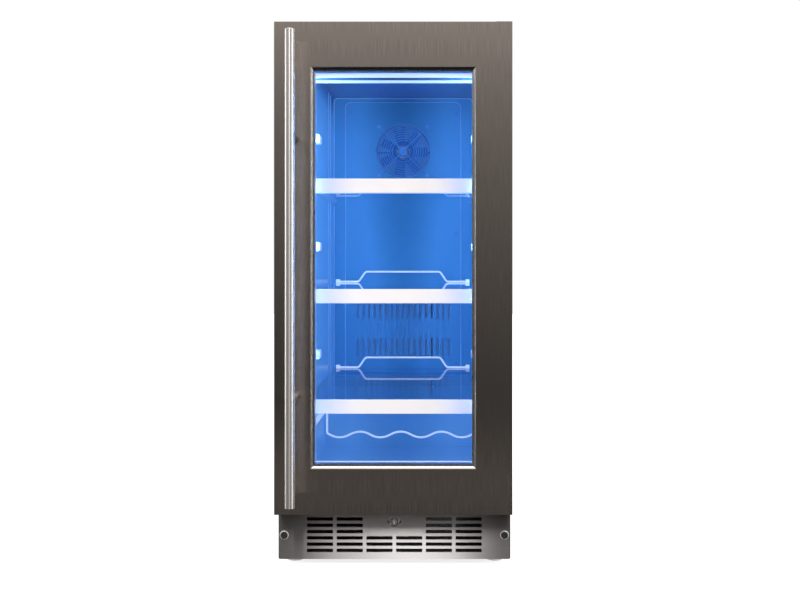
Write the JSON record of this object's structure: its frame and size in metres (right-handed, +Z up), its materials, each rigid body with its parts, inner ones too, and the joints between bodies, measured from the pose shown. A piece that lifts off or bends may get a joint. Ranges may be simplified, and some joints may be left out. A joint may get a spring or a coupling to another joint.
{
  "type": "undercounter refrigerator",
  "caption": "Slim built-in refrigerator with a brushed steel glass door, blue lit inside, glass shelves with metal fronts, wavy wine rack and louvred kick plate.",
  "frame": {"origin": "on the floor under the middle of the bounding box", "axes": "+X to the right seen from the front, +Y to the back, +Z up; the door faces -Y"},
  "size_m": [0.378, 0.64, 0.876],
  "materials": {
    "stainless": "satin",
    "handle_steel": "polished",
    "polished_steel": "polished",
    "case_paint": "satin",
    "zinc_sheet": "satin",
    "compressor_paint": "gloss",
    "insulation_foam": "matte",
    "liner_plastic": "satin",
    "black_plastic": "satin",
    "frame_plastic": "satin",
    "white_plastic": "satin",
    "button_plastic": "satin",
    "display_glass": "gloss",
    "led_light": "satin",
    "gasket_rubber": "matte",
    "clear_glass": "gloss",
    "fin_aluminium": "satin",
    "trim_metal": "satin",
    "guard_wire": "satin",
    "rack_wire": "polished",
    "foot_steel": "satin",
    "copper": "satin"
  },
  "bodies": {
    "cabinet": {"outer_case": "case_paint", "back_panel": "zinc_sheet", "face_frame": "case_paint", "foam_insulation": "insulation_foam", "inner_liner": "liner_plastic", "compartment_plate": "zinc_sheet", "base_pan": "zinc_sheet", "kick_plate": "stainless", "case_screws": "polished_steel", "machine_cover": "case_paint", "evaporator_cover": "liner_plastic", "cover_screws": "polished_steel", "fan_guard": "guard_wire", "evaporator_fan_frame": "black_plastic", "evaporator_coil": "fin_aluminium", "drain_tube": "white_plastic", "control_housing": "liner_plastic", "control_display": "display_glass", "led_strips": "led_light", "spare_shelf_clips": "white_plastic", "lock_housing": "polished_steel", "upper_hinge_bracket": "zinc_sheet", "lower_hinge_bracket": "zinc_sheet", "compressor": "compressor_paint", "terminal_cover": "black_plastic", "condenser_coil": "fin_aluminium", "condenser_fan_frame": "black_plastic", "filter_drier": "copper", "refrigerant_lines": "copper", "drain_pan": "black_plastic", "electronics_box": "black_plastic", "cord_gland": "black_plastic"},
    "door": {"door_skin": "stainless", "door_inner_frame": "frame_plastic", "outer_glass": "clear_glass", "inner_glass": "clear_glass", "glass_spacer": "fin_aluminium", "door_gasket": "gasket_rubber", "handle_bar": "handle_steel", "handle_posts": "handle_steel", "hinge_bushes": "white_plastic"},
    "wine_rack": {"wine_rack": "rack_wire"},
    "evaporator_fan": {"evaporator_fan_rotor": "black_plastic"},
    "condenser_fan": {"condenser_fan_rotor": "black_plastic"},
    "up_button": {"temperature_up_button": "button_plastic"},
    "down_button": {"temperature_down_button": "button_plastic"},
    "lock": {"lock_plug": "polished_steel"},
    "bottom_shelf": {"bottom_shelf_glass": "clear_glass", "bottom_shelf_trim": "trim_metal", "bottom_shelf_stop_wire": "rack_wire"},
    "middle_shelf": {"middle_shelf_glass": "clear_glass", "middle_shelf_trim": "trim_metal", "middle_shelf_stop_wire": "rack_wire"},
    "top_shelf": {"top_shelf_glass": "clear_glass", "top_shelf_trim": "trim_metal", "top_shelf_stop_wire": "rack_wire"},
    "front_left_foot": {"front_left_foot": "foot_steel"},
    "front_right_foot": {"front_right_foot": "foot_steel"},
    "rear_left_foot": {"rear_left_foot": "foot_steel"},
    "rear_right_foot": {"rear_right_foot": "foot_steel"}
  },
  "joints": [
    {"name": "door_swing", "type": "hinge", "parent": "cabinet", "child": "door", "pos_m": [0.18, -0.246, 0.094], "axis": [0, 0, 1], "range_deg": [0, 110]},
    {"name": "top_shelf_pull", "type": "slide", "parent": "cabinet", "child": "top_shelf", "axis": [0, -1, 0], "range_m": [0, 0.108]},
    {"name": "middle_shelf_pull", "type": "slide", "parent": "cabinet", "child": "middle_shelf", "axis": [0, -1, 0], "range_m": [0, 0.108]},
    {"name": "bottom_shelf_pull", "type": "slide", "parent": "cabinet", "child": "bottom_shelf", "axis": [0, -1, 0], "range_m": [0, 0.108]},
    {"name": "wine_rack_pull", "type": "slide", "parent": "cabinet", "child": "wine_rack", "axis": [0, -1, 0], "range_m": [0, 0.108]},
    {"name": "evaporator_fan_spin", "type": "hinge", "parent": "cabinet", "child": "evaporator_fan", "pos_m": [0, 0.218, 0.731], "axis": [0, 1, 0], "continuous": true},
    {"name": "condenser_fan_spin", "type": "hinge", "parent": "cabinet", "child": "condenser_fan", "pos_m": [0.02, 0.21, 0.0815], "axis": [1, 0, 0], "continuous": true},
    {"name": "up_button_press", "type": "slide", "parent": "cabinet", "child": "up_button", "axis": [0, 1, 0], "range_m": [0, 0.001], "stiffness_N_per_m": 400},
    {"name": "down_button_press", "type": "slide", "parent": "cabinet", "child": "down_button", "axis": [0, 1, 0], "range_m": [0, 0.001], "stiffness_N_per_m": 400},
    {"name": "lock_turn", "type": "hinge", "parent": "cabinet", "child": "lock", "pos_m": [0, -0.23, 0.0707], "axis": [0, -1, 0], "range_deg": [0, 90]},
    {"name": "front_left_foot_screw", "type": "slide", "parent": "cabinet", "child": "front_left_foot", "axis": [0, 0, 1], "range_m": [-0.012, 0]},
    {"name": "front_right_foot_screw", "type": "slide", "parent": "cabinet", "child": "front_right_foot", "axis": [0, 0, 1], "range_m": [-0.012, 0]},
    {"name": "rear_left_foot_screw", "type": "slide", "parent": "cabinet", "child": "rear_left_foot", "axis": [0, 0, 1], "range_m": [-0.012, 0]},
    {"name": "rear_right_foot_screw", "type": "slide", "parent": "cabinet", "child": "rear_right_foot", "axis": [0, 0, 1], "range_m": [-0.012, 0]}
  ],
  "couplings": [
    {"joint": "top_shelf_pull", "follows": "door_swing", "m_per_rad": 0.055},
    {"joint": "middle_shelf_pull", "follows": "door_swing", "m_per_rad": 0.055},
    {"joint": "bottom_shelf_pull", "follows": "door_swing", "m_per_rad": 0.055},
    {"joint": "wine_rack_pull", "follows": "door_swing", "m_per_rad": 0.055}
  ]
}
